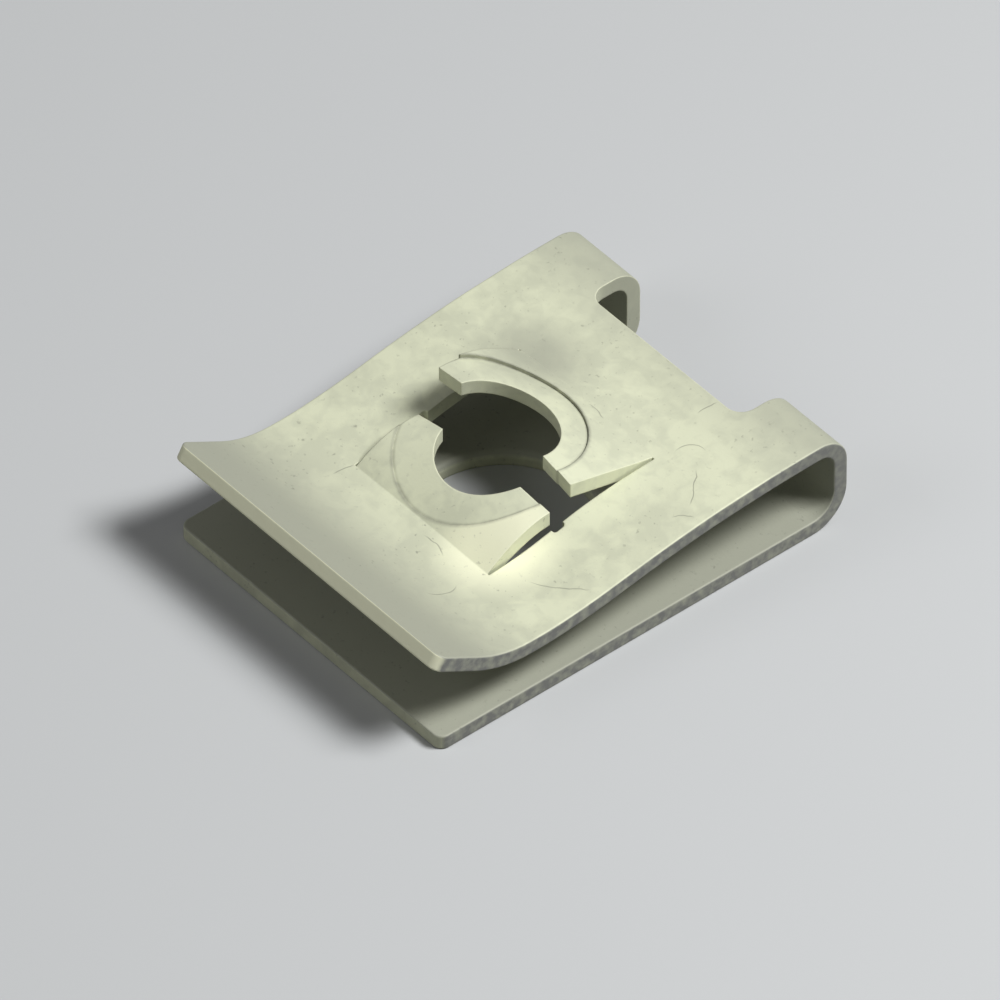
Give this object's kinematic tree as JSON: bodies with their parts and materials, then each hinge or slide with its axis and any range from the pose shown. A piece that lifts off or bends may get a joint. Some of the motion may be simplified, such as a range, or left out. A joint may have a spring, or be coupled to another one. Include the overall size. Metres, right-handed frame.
{
  "type": "u clip speed nut",
  "caption": "Folded spring steel clip that slides over a panel edge, with a clearance hole below and two arched thread prongs above.",
  "frame": {"origin": "on the screw axis, at the outer face of the plain lower leg", "axes": "+Z along the screw, from the plain leg out through the prongs; +Y from the open mouth to the closed bend; +X across the clip"},
  "size_m": [0.016, 0.0211, 0.0061],
  "materials": {
    "zinc_coated_spring_steel": "dull mechanically plated zinc"
  },
  "bodies": {
    "root": {"speed_nut": "zinc_coated_spring_steel"}
  },
  "joints": []
}
